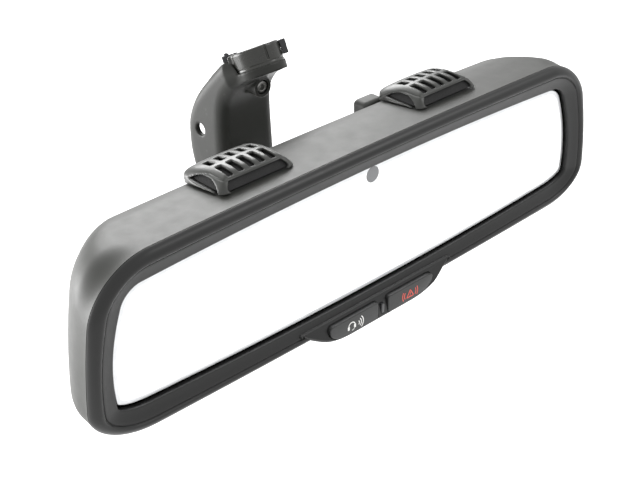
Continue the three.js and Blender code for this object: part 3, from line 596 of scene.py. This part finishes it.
def housing():
    """Rear shell: a smooth skin through its sections, open at the front, with its holes."""
    rows = ease(SECTIONS, 34)
    outside = housing_rings(0, rows, HOUSING_FRONT_Y)
    last = rows[-1]
    for k in (0.82, 0.6, 0.36, 0.12):
        outside.append(upright(outside[len(rows) - 1][:, [0, 2]] * k, last[0]))
    inner_rows = rows[::3]
    inside = housing_rings(-HOUSING_WALL, inner_rows, HOUSING_FRONT_Y)
    for k in (0.75, 0.4, 0.1):
        inside.append(upright(inside[len(inner_rows) - 1][:, [0, 2]] * k, last[0] - HOUSING_WALL))
    body = make("rear_shell", *loft(outside, False), housing_plastic)
    edge = [(4.0 * (1 - math.cos(a)), 14 - 4.0 * (1 - math.sin(a))) for a in
            np.linspace(0, math.pi / 2, 8)]
    rings = [upright(chin_plan, HOUSING_FRONT_Y)] + [upright(grown(chin_plan, -i), y) for i, y in edge]
    chin = make("chin", *loft(rings, False), housing_plastic)
    boolean(body, [chin], "UNION")
    hollow = make("cut", *loft([upright(inside[0][:, [0, 2]], -1)] + inside[1:], False), inner_plastic)
    cavity = slab("cut", clockwise([(-34, -25), (34, -25), (34, -34.0), (25.3, -38.0), (-25.3, -38.0),
                                    (-34, -34.0)]), -1, 12.4, inner_plastic)
    tubes = [(0, 0, 13.6), (*AMBIENT_AT, 4.3)] + [(x, z, 3.9) for x, z in SCREWS]
    tubes = [turned([(0, 30), (r, 30), (r, 50), (0, 50)], 64, (x, z)) for x, z, r in tubes]
    boolean(body, [hollow, cavity] + [make("cut", *tube, inner_plastic) for tube in tubes])
    sharpen(body.data, 30)
    shown(body, "mirror_head", "rear_housing")


# ---- glass ----
def glass():
    """Mirror glass: a flat silvered face inside a pale ground rim with an eased edge."""
    rows = [(0.0, 4.6), (0.0, 2.5), (0.03, 2.4), (0.12, 2.15), (0.3, 2.02), (1.75, 2.0), (1.8, 2.0)]
    reach = (np.ptp(glass_line, axis=0)) / 2
    points, faces = loft([upright(glass_line * (1 - i / reach), y) for i, y in rows], False)
    per = len(glass_line)
    # the strips are ground rim; only the last, lying round the front face, is silvered like
    # the two flat ends
    kinds = [1] * (per * 6) + [0, 0]
    kinds[per * 5:per * 6] = [0] * per
    o = make("front_glass_face", points, faces, [mirror, rim], kinds, sharp=20)
    shown(o, "mirror_head", "front_glass")
    a = np.linspace(0, 2 * math.pi, 64, endpoint=False)
    spot_r, spot_z = 3.3, 22.6
    spot = np.stack([spot_r * np.cos(a), spot_z - spot_r * np.sin(a)], 1)
    s = make("glare_window", *loft([upright(spot, 1.96), upright(spot, 1.995)], False), lens)
    shown(s, "mirror_head", slot="sensor_lens")


# ---- buttons, their pictograms and the light pipe ----
def strip(points, width):
    """A flat line (x, z) of even width with square ends, as quads between its two sides."""
    p = np.asarray(points, float)
    d = np.gradient(p, axis=0)
    n = np.stack([-d[:, 1], d[:, 0]], 1) / np.linalg.norm(d, axis=1)[:, None]
    return p + n * width / 2, p - n * width / 2


def arc2(cx, cz, r, a0, a1, steps=24):
    """Part of a circle (x, z), between angles in degrees."""
    a = np.radians(np.linspace(a0, a1, steps))
    return np.stack([cx + r * np.cos(a), cz + r * np.sin(a)], 1)


def printed(name, shapes, y, mat, body):
    """Printed marks: closed plans and lines, 0.03 mm proud of the button's face."""
    points, faces, count = [], [], 0
    for s in shapes:
        if isinstance(s, tuple):
            a, b = s
            plan = np.concatenate([a, b[::-1]])
        else:
            plan = clockwise(s)
        p, f = loft([upright(plan, y - 0.03), upright(plan, y + 0.05)], False)
        if isinstance(s, tuple):
            n = len(s[0])
            f = f[:-2]
            for base in (0, len(plan)):
                f += [(base + i, base + i + 1, base + 2 * n - 2 - i, base + 2 * n - 1 - i)
                      for i in range(n - 1)]
        points.append(p)
        faces += [tuple(v + count for v in q) for q in f]
        count += len(p)
    o = make(name, np.concatenate(points), faces, mat)
    shown(o, body, slot="button_plastic")


def button(name, plan, body, switch_x):
    """Button cap with eased edges, its flange behind the chin and the stem to its switch."""
    rings = [upright(grown(plan, BUTTON_EDGE * (math.sin(a) - 1)),
                     BUTTON_FRONT_Y + BUTTON_EDGE * (1 - math.cos(a)))
             for a in np.linspace(0, math.pi / 2, 7)]
    rings += [upright(plan, -2.0), upright(grown(plan, -0.5), -2.0), upright(grown(plan, -0.5), -0.4)]
    o = make(f"{name}_cap", *loft(rings, False), button_face, sharp=40)
    lo, hi = plan[:, 0].min() - 0.9, plan[:, 0].max() + 0.9
    corners = [(lo, -30.3), (hi, -30.3), (hi, -34.7), (lo, -34.7)]
    flange = slab("join", clockwise(corners), -1.4, -0.4, button_face)
    profile = [(0, -1), (1.5, -1), (1.5, 0.7), (0, 0.7)]
    stem = make("join", *turned(profile, 32, (switch_x, SWITCH_Z)), button_face)
    boolean(o, [flange, stem], "UNION")
    sharpen(o.data, 40)
    shown(o, body, name)


def block(cx, cz, x0, x1, z0, z1, foot_x0=None, foot_x1=None):
    """Corners of a four-sided mark round (cx, cz), from its top left clockwise."""
    return [(cx + x0, cz + z1), (cx + x1, cz + z1), (cx + (foot_x1 or x1), cz + z0),
            (cx + (foot_x0 or x0), cz + z0)]


def chin_parts():
    """The two buttons with their pictograms and the light pipe between them."""
    button("left_button", left_plan, "left_button_cap", -SWITCH_X)
    button("right_button", right_plan, "right_button_cap", SWITCH_X)
    # a headset with sound waves, in white
    cx, cz = -17.6, -34.9
    head = [strip(arc2(cx, cz, 1.75, 8, 172), 0.42),
            rounded(block(cx, cz, -2.2, -1.15, -1.35, 0.35), 0.3),
            rounded(block(cx, cz, 1.15, 2.2, -1.35, 0.35), 0.3),
            strip(arc2(cx + 0.3, cz - 0.7, 1.25, -100, -20), 0.3)]
    head += [strip(arc2(cx + 3.0, cz - 0.1, r, -48, 48, 16), 0.4) for r in (1.1, 2.2, 3.3)]
    printed("left_pictogram", head, BUTTON_FRONT_Y, mark_white, "left_button_cap")
    # a warning triangle between two pairs of waves, in red
    cx, cz = 15.4, -34.8
    side = [(cx, cz + 1.75), (cx + 2.0, cz - 1.6), (cx - 2.0, cz - 1.6)]
    red = [strip(np.linspace(a, b, 4), 0.42) for a, b in zip(side, side[1:] + side[:1])]
    red += [rounded(block(cx, cz, -0.22, 0.22, -0.45, 0.75, -0.16, 0.16), 0.1),
            arc2(cx, cz - 0.95, 0.24, 0, 345, 18)]
    for sign in (0, 180):
        red += [strip(arc2(cx, cz - 0.2, r, sign - 27, sign + 27, 14), 0.4) for r in (3.3, 4.4)]
    printed("right_pictogram", red, BUTTON_FRONT_Y, mark_red, "right_button_cap")
    pipe = slab("indicator_pipe", pipe_plan, -4.3, 1.7, pipe_dark, 0.3)
    shown(pipe, "mirror_head", "light_pipe")


# ---- microphone covers ----
def pod(name, x0, node):
    """Slotted cover: a soft domed top on leaning walls, with windows in front and at each end,
    and the foam that fills it."""
    half_x, back_half_x, back_bevel = 17.6, 15.1, 8
    base_z, lean, crown_z, crown_y = 36.3, 0.85, 41.7, 18
    wall_inset, roof_inset, foam_inset, foam_drop = 1.35, 1.5, 1.6, 1.8
    slot_pitch, slot_half, slot_rows = 4.83, 1.3, ((12.3, 19.4), (22.0, 26.6))
    plan = rounded([(-half_x, MIC_FRONT_Y), (half_x, MIC_FRONT_Y), (half_x, MIC_BACK_Y - back_bevel),
                    (back_half_x, MIC_BACK_Y), (-back_half_x, MIC_BACK_Y),
                    (-half_x, MIC_BACK_Y - back_bevel)], [4.6, 4.6, 5, 4, 4, 5], 6)

    def leaning(x, y, z):
        flat = polygon_field(plan, x[:, :, 0], y[:, :, 0])[:, :, None] * np.ones_like(z)
        return (flat + lean * np.maximum(z - base_z, 0)) / math.hypot(1, lean)

    def dome(x, y, top):
        return top - 0.016 * (y - crown_y) ** 2 - 0.7 * (x / 14) ** 2

    def moved(p):
        return p + np.array([x0, 0, 0])

    step = 0.32
    low, high = (-18.4, 6.6, 33.0), (18.4, 35.0, 42.4)
    x, y, z = grid(low, high, step)
    # the foot bulges out a little below the walls
    wall = leaning(x, y, z) - 0.3 * np.clip((36.4 - z) / 0.9, 0, 1) + 0.3
    roof = z - dome(x, y, crown_z)
    outer = smax(wall, roof, 1.9)
    inner = smax(wall + wall_inset, roof + roof_inset, 1.5)
    # the underside follows the top of the housing
    seat_y = [0] + [row[0] for row in SECTIONS[1:6]] + [60]
    seat_z = [36.7] + [OUTER_TOP - row[2] + 0.3 for row in SECTIONS[1:6]] + [0]
    seat = np.interp(y, seat_y, seat_z) - z
    shape = smax(outer, seat, 0.3)
    shape = smax(shape, -inner, 0.5)
    for i in range(-2, 3):
        for a, b in slot_rows:
            cut = box_field(x - i * slot_pitch, y, z, (-slot_half, a, 37.2), (slot_half, b, 50), 0.45)
            shape = smax(shape, -cut, 0.5)
    # windows: along the front and, lens shaped, in each end
    front_cut = box_field(x, y, z, (-13.9, 0, 36.4), (13.9, MIC_FRONT_Y + 5.0, 39.35), 1.2)
    front_cut = smax(front_cut, np.abs(x) + 0.9 * (z - 36.4) - 14.6, 0.8)
    shape = smax(shape, -front_cut, 0.45)
    end_cut = np.maximum(np.hypot(y - 19.0, (z - 25.6)) - 13.4, 36.15 - z)
    end_cut = np.maximum(end_cut, 11.5 - np.abs(x))
    shape = smax(shape, -end_cut, 0.35)
    # a fine step line below the roof's edge, all round
    line_z = 39.75 - 0.028 * (y - 17) ** 2 * (y > 17)
    groove = np.maximum(np.abs(outer) - 0.2, np.abs(z - line_z) - 0.13)
    shape = smax(shape, -groove, 0.15)
    # painted shade: faces more than 0.7 mm inside the outer skin (slot and window walls and the
    # inside) take inner_plastic
    o = field_mesh(name, shape, low, step, [pod_plastic, inner_plastic], moved, painted_shade_field=outer + 0.7)
    shown(o, "mirror_head", node)

    step = 0.3
    low, high = (-16.5, 7.6, 34.2), (16.5, 33.6, 40.2)
    x, y, z = grid(low, high, step)
    pad = smax(leaning(x, y, z) + foam_inset, z - dome(x, y, crown_z - foam_drop), 0.6)
    pad = smax(pad, np.interp(y, seat_y, np.array(seat_z) + 0.05) - z, 0.2)
    o = field_mesh(f"{name}_foam", pad, low, step, foam, moved)
    shown(o, "mirror_head", node.replace("cover", "boot"))


# ---- arm ----
FRONT_EDGE = [(ARM_FRONT_Y, -10), (ARM_FRONT_Y, 8), (ARM_FRONT_Y, 24), (73.2, 32.5), (69.6, 38.6),
              (65, 42.6), (60.3, 46.4), (56, 52)]
BACK_EDGE = [(74.1, 50.9), (84.8, 39.8), (92, 30.8), (96.3, 21.6), (97.4, 13.5), (96.6, 3.7),
             (93.2, -6), (87.5, -12.5), (80, -14)]
CHANNEL = [(77, -10.5), (77, 24.5), (75.8, 32.2), (77.5, 37), (86, 46), (120, 40), (120, -4), (88, -9)]


def arm():
    """Bent channel, open to the windscreen: its side view crossed with its view along the
    collar's axis, with the screw's boss, the collar's seat and the holes."""
    step = 0.5
    low, high = (-16.6, 53.0, -15.5), (16.6, 99.5, 54.5)
    wall, boss_r, bore_r = 2.5, 4.3, 2.95
    hole_y, hole_z, hole_r, stud_r = 87.9, 17.5, 2.6, 3.4
    x, y, z = grid(low, high, step)
    y2, z2 = y[0], z[0]
    side = polygon_field(np.concatenate([spline(FRONT_EDGE, 6), spline(BACK_EDGE, 6)]), y2, z2)
    channel = polygon_field(CHANNEL, y2, z2)
    c, s = math.cos(SEAT_TILT), math.sin(SEAT_TILT)
    across = c * (y2 - COLLAR_TOP[1]) - s * (z2 - COLLAR_TOP[2])
    along = s * (y2 - COLLAR_TOP[1]) + c * (z2 - COLLAR_TOP[2])
    front = [(COLLAR_R * math.cos(math.radians(180 + d)), COLLAR_R * math.sin(math.radians(180 + d)))
             for d in range(0, 181, 9)]
    plan = [(-15.4, 60), (-15.4, 40), (-13.5, 7)] + front + [(13.5, 7), (15.4, 40), (15.4, 60)]
    table_v = np.arange(-15, 62, 0.5)
    xs = x[:, 0, 0]
    gx, gv = np.meshgrid(xs, table_v, indexing="ij")
    table = polygon_field(plan, gx, gv)
    column = np.stack([np.interp(across, table_v, row) for row in table])
    body = smax(np.broadcast_to(side, x.shape), column, 5.0)
    hollow = smax(np.broadcast_to(channel, x.shape), column + wall, 2.0)
    shape = smax(body, -hollow, 1.0)
    boss = np.maximum(np.hypot(x, z - BOSS_Z) - boss_r, np.abs(y - 69.5) - 5.9)
    shape = smin(shape, boss, 1.2)
    bore = np.maximum(np.hypot(x, z - BOSS_Z) - bore_r, y - 74.5)
    shape = smax(shape, -bore, 0.5)
    radial = np.hypot(x, across[None])
    saucer = np.maximum(radial - COLLAR_R - 0.2, np.abs(along[None] + 9.9) - 1.75)
    shape = smin(shape, saucer, 1.6)
    seat = np.maximum(radial - COLLAR_R - 0.6, -8.1 - along[None])
    shape = smax(shape, -seat, 0.15)
    u, v = swung(x, across[None], CLIP_ANGLE)
    slot = box_field(u, v, along[None], (6.9, -1.5, -7.9), (14.0, 1.5, 6), 0.3)
    shape = smax(shape, -slot, 0.4)
    hole = np.hypot(y - hole_y, z - hole_z) - hole_r
    shape = smax(shape, -hole, 0.7)
    stud = np.hypot(x, z) - stud_r
    shape = smax(shape, -np.maximum(stud, y - 90), 0.4)
    o = field_mesh("arm_casting", shape, low, step, arm_paint)
    shown(o, "mount_arm", "arm")


def collar():
    """Collar ring with eased rims, a fine slot in its wall, and a lug beside the clip's left ear."""
    step = 0.24
    low, high = (-12.6, -12.6, -9.2), (12.6, 12.6, 1.2)
    x, y, z = grid(low, high, step)
    r = np.hypot(x, y)
    ring = smax(smax(r - COLLAR_R, z, 1.3), -8.4 - z, 0.4)
    bore = smax(r - 7.6, -6.0 - z, 0.5)
    shape = smax(ring, -bore, 0.5)
    for turn in (0, math.pi):
        u, v = swung(x, y, CLIP_ANGLE + turn)
        if turn == 0:
            lug = box_field(u, v, z, (7.9, -3.3, -8.3), (11.4, 3.3, -0.35), 0.6)
            shape = smin(shape, lug, 1.0)
        gap = box_field(u, v, z, (6.8, -1.4, -3.6), (16, 1.4, 4), 0.2)
        shape = smax(shape, -gap, 0.3)
    u, v = swung(x, y, math.radians(-102))
    groove = box_field(u, v, z, (9.55, -0.35, -6.2), (12, 0.35, 2), 0.15)
    shape = smax(shape, -groove, 0.35)
    # a fine line round the wall near its foot
    shape = smax(shape, -(np.abs(z + 7.1) + np.abs(r - COLLAR_R - 0.15) - 0.42), 0.2)
    o = field_mesh("collar_ring", shape, low, step, collar_paint, from_collar)
    shown(o, "mount_arm", "mount_collar")


def clip():
    """Spring clip: a thin band inside the collar and its two ears."""
    step = 0.2
    low, high = (-15.6, -15.6, -8.2), (15.6, 15.6, 1.8)
    x, y, z = grid(low, high, step)
    r = np.hypot(x, y)
    shape = np.maximum(np.abs(r - 7.0) - 0.3, np.abs(z + 2.05) - 1.25)
    ears = ((0, 0.5, -7.4, 11.3, 13.3), (math.pi, -0.6, -6.4, 10.15, 12.6))
    for turn, top, deep, inner, reach in ears:
        u, v = swung(x, y, CLIP_ANGLE + turn)
        bar = box_field(u, v, z, (6.95, -1.1, -3.3), (reach, 1.1, top), 0.3)
        tab = box_field(u, v, z, (inner, -1.5, deep), (reach, 1.5, top), 0.35)
        shape = smin(shape, smin(bar, tab, 0.5), 0.3)
        if turn == 0:
            ball = np.sqrt((u - 11.4) ** 2 + v ** 2 + (z - 0.55) ** 2) - 1.05
            shape = smin(shape, ball, 0.4)
    o = field_mesh("clip_band", shape, low, step, dark_steel, from_collar)
    shown(o, "mount_arm", "retaining_clip")


# ---- ball joint, screws, connector ----
def arc(radius, start, stop, steps):
    """Profile points round the middle of the ball, angles in degrees from +Y."""
    a = np.radians(np.linspace(start, stop, steps + 1))
    return [(radius * math.sin(t), BALL_Y + radius * math.cos(t)) for t in a]


def ball_joint():
    """Socket, liner, and the ball with its stud and nut."""
    neck = 13.0
    socket = [(8, 10.4), (19.4, 10.4), (19.4, 12.0), (19.0, 12.4), (neck + 0.8, 12.4), (neck, 13.2),
              (neck, 49.0), (12.8, 49.8), (11.4, 51.7), (11.0, 52.0), (9.75, 51.7), (9.6, 51.4)]
    socket += arc(10.1, 52, 90, 14) + [(10.1, 26.5), (3, 26.5), (3, 24.5), (8, 24.5)]
    shown(make("ball_socket", *turned(socket), inner_plastic), "mirror_head", "socket_housing")
    liner = arc(8.3, 57, 104, 16) + arc(9.8, 104, 57, 16)
    shown(make("ball_liner_ring", *turned(liner), nylon), "pan_ring", "ball_liner")
    stud = arc(8, 180, math.degrees(math.asin(4.2 / 8)), 40)
    stud += [(4.2, 69.6), (4.6, 70.3), (5.4, 70.7), (6.7, 70.9), (7, 71.2), (7, ARM_FRONT_Y - 0.5),
             (6.8, ARM_FRONT_Y - 0.3), (3, ARM_FRONT_Y - 0.3)]
    pitch = 0.86
    for i in range(7):
        at = ARM_FRONT_Y + 3.2 + i * pitch
        stud += [(3.0, at), (2.62, at + pitch / 2)]
    stud += [(2.7, 83.7), (2.3, 84), (0, 84)]
    shown(make("ball_and_stud", *turned(stud), steel), "mount_arm", "ball_stud")
    half_flat, half_tall, step = 5.2, 2.3, 0.2
    nut_y = ARM_FRONT_Y + 2.8
    low = (-6.4, nut_y - 0.6, -6.4)
    x, y, z = grid(low, (6.4, nut_y + 5.2, 6.4), step)
    r, along = np.hypot(x, z), np.abs(y - nut_y - half_tall)
    nut = smax(drive(x, z, [30, 90, 150]) - half_flat, along - half_tall, 0.25)
    nut = smax(nut, (r - 5.75) * 0.6 + along * 0.6 - 1.25, 0.15)
    nut = smax(nut, -(r - 3.3), 0.3)
    shown(field_mesh("hex_nut", nut, low, step, steel), "mount_arm", "stud_nut")


def screws():
    """The set screw in the arm's boss and the four screws in the back of the housing."""
    low, step = (-3, 63.6, -3), 0.16
    x, y, z = grid(low, (3, 74.2, 3), step)
    thread = 0.14 * (np.sin((y - 64) * 2 * math.pi / 0.8) + 1)
    screw = smax(np.hypot(x, z) - 2.5 + thread, np.abs(y - 68.95) - 4.7, 0.5)
    screw = smax(screw, -np.maximum(drive(x, z, [0, 60, 120]) - 1.25, y - 66.4), 0.2)
    shown(field_mesh("socket_set_screw", screw, low, step, screw_steel,
                     lambda p: p + np.array([0, 0, BOSS_Z])), "mount_arm", "set_screw")
    low, step = (-3.9, 33.9, -3.9), 0.18
    shank = [(0, 17), (0.9, 17), (1.5, 18.2), (1.5, 34.4), (0, 34.4)]
    for i, (sx, sz) in enumerate(SCREWS):
        x, y, z = grid(low, (3.9, 37.2, 3.9), step)
        r = np.hypot(x, z)
        top = 36.8 - 0.05 * r ** 2
        head = smax(smax(r - 3.5, y - top, 0.7), 34.3 - y, 0.3)
        cross = np.minimum(box_field(x, y, z, (-1.9, 35.2, -0.42), (1.9, 40, 0.42), 0.1),
                           box_field(x, y, z, (-0.42, 35.2, -1.9), (0.42, 40, 1.9), 0.1))
        head = smax(head, -cross, 0.25)
        o = field_mesh(f"housing_screw_head_{i + 1}", head, low, step, dark_steel,
                       lambda p, sx=sx, sz=sz: p + np.array([sx, 0, sz]))
        boolean(o, [make("join", *turned(shank, 32, (sx, sz)), dark_steel)], "UNION")
        sharpen(o.data, 50)
        shown(o, "mirror_head", f"housing_screw_{i + 1}")


def back_parts():
    """The ambient light window and the wire connector's block."""
    window = [(0, 34.4), (3.1, 34.4), (4, 35.4), (4, 37.4), (3.85, 37.7), (3.0, 37.85), (0, 38.0)]
    shown(make("ambient_window", *turned(window, 64, AMBIENT_AT), lens), "mirror_head", "ambient_lens")
    corner, step = (28.0, 33.8, 18.8), 0.22
    x, y, z = grid(corner, (40.8, 43.1, 32.4), step)
    shroud = box_field(x, y, z, PLUG_LOW, PLUG_HIGH, 2.4)
    pocket = box_field(x, y, z, (29.8, 38.4, 23.1), (38.9, 50, 30.5), 0.4)
    shroud = smax(shroud, -pocket, 0.4)
    o = field_mesh("plug_shroud", shroud, corner, step, housing_plastic)
    shown(o, "mirror_head", "connector_shroud")


# ---- build ----
bezel()
housing()
glass()
chin_parts()
pod("mic_pod_left", -MIC_X, "mic_cover_left")
pod("mic_pod_right", MIC_X, "mic_cover_right")
arm()
collar()
clip()
ball_joint()
screws()
back_parts()
# CAD nodes that are still shown get the material of their slot and a fine bevel
for name, node in frame["nodes"].items():
    if not node.hide_render:
        node.data.materials.clear()
        node.data.materials.append(BY_SLOT[slot_of[name]])
        bevel = node.modifiers.new("edge", "BEVEL")
        bevel.width, bevel.segments, bevel.limit_method = 0.00012, 1, "ANGLE"
        bevel.angle_limit = math.radians(50)

# ---- stage ----
FLOOR_Z = -0.30
FLOOR_SIZE = 12.0
FLOOR_COLOUR = (0.93, 0.93, 0.93)


def plane(name, size, z, colour):
    """A square matt floor."""
    mesh = bpy.data.meshes.new(name)
    s = size / 2
    mesh.from_pydata([(-s, -s, z), (s, -s, z), (s, s, z), (-s, s, z)], [], [(0, 1, 2, 3)])
    o = bpy.data.objects.new(name, mesh)
    bpy.context.scene.collection.objects.link(o)
    m = bpy.data.materials.new(name)
    m.use_nodes = True
    b = m.node_tree.nodes["Principled BSDF"]
    b.inputs["Base Color"].default_value = (*colour, 1)
    b.inputs["Roughness"].default_value = 0.9
    b.inputs["Specular IOR Level"].default_value = 0.1
    mesh.materials.append(m)


plane("floor", FLOOR_SIZE, FLOOR_Z, FLOOR_COLOUR)

world = bpy.data.worlds.new("studio")
world.use_nodes = True
world.node_tree.nodes["Background"].inputs["Color"].default_value = (1, 1, 1, 1)
world.node_tree.nodes["Background"].inputs["Strength"].default_value = 1.0
bpy.context.scene.world = world


def softbox(name, at, to, size, radiance):
    """An area light whose face shines with an even radiance."""
    data = bpy.data.lights.new(name, "AREA")
    data.shape = "RECTANGLE"
    data.size, data.size_y = size
    data.energy = radiance * math.pi * size[0] * size[1]
    o = bpy.data.objects.new(name, data)
    o.location = at
    o.rotation_euler = (Vector(to) - Vector(at)).to_track_quat("-Z", "Y").to_euler()
    bpy.context.scene.collection.objects.link(o)


middle = (0, -0.05, -0.04)  # of the mirror
softbox("back_top", (0.45, 1.0, 0.62), middle, (1.0, 0.5), 11.5)
softbox("left_back", (-0.75, 0.9, -0.02), middle, (0.9, 0.5), 13.0)
softbox("front_right", (0.75, -0.6, 0.95), middle, (0.5, 0.5), 3.5)

# ---- camera ----
eye = Vector((-0.28275, -0.34168, 0.18033))
aim = Vector((-0.02936, -0.06585, -0.04243))
ROLL = math.radians(-1.16)
FOCAL_MM, SENSOR_MM = 66.87, 36
forward = (aim - eye).normalized()
right = forward.cross(Vector((0, 0, 1))).normalized()
up = right.cross(forward)
right, up = (math.cos(ROLL) * right + math.sin(ROLL) * up,
             -math.sin(ROLL) * right + math.cos(ROLL) * up)
camera = bpy.data.objects.new("camera", bpy.data.cameras.new("camera"))
camera.data.sensor_width = SENSOR_MM
camera.data.lens = FOCAL_MM
camera.data.clip_start = 0.01
camera.matrix_world = Matrix.Translation(eye) @ Matrix((right, up, -forward)).transposed().to_4x4()
bpy.context.scene.collection.objects.link(camera)
bpy.context.scene.camera = camera
bpy.context.scene.view_settings.view_transform = "Standard"
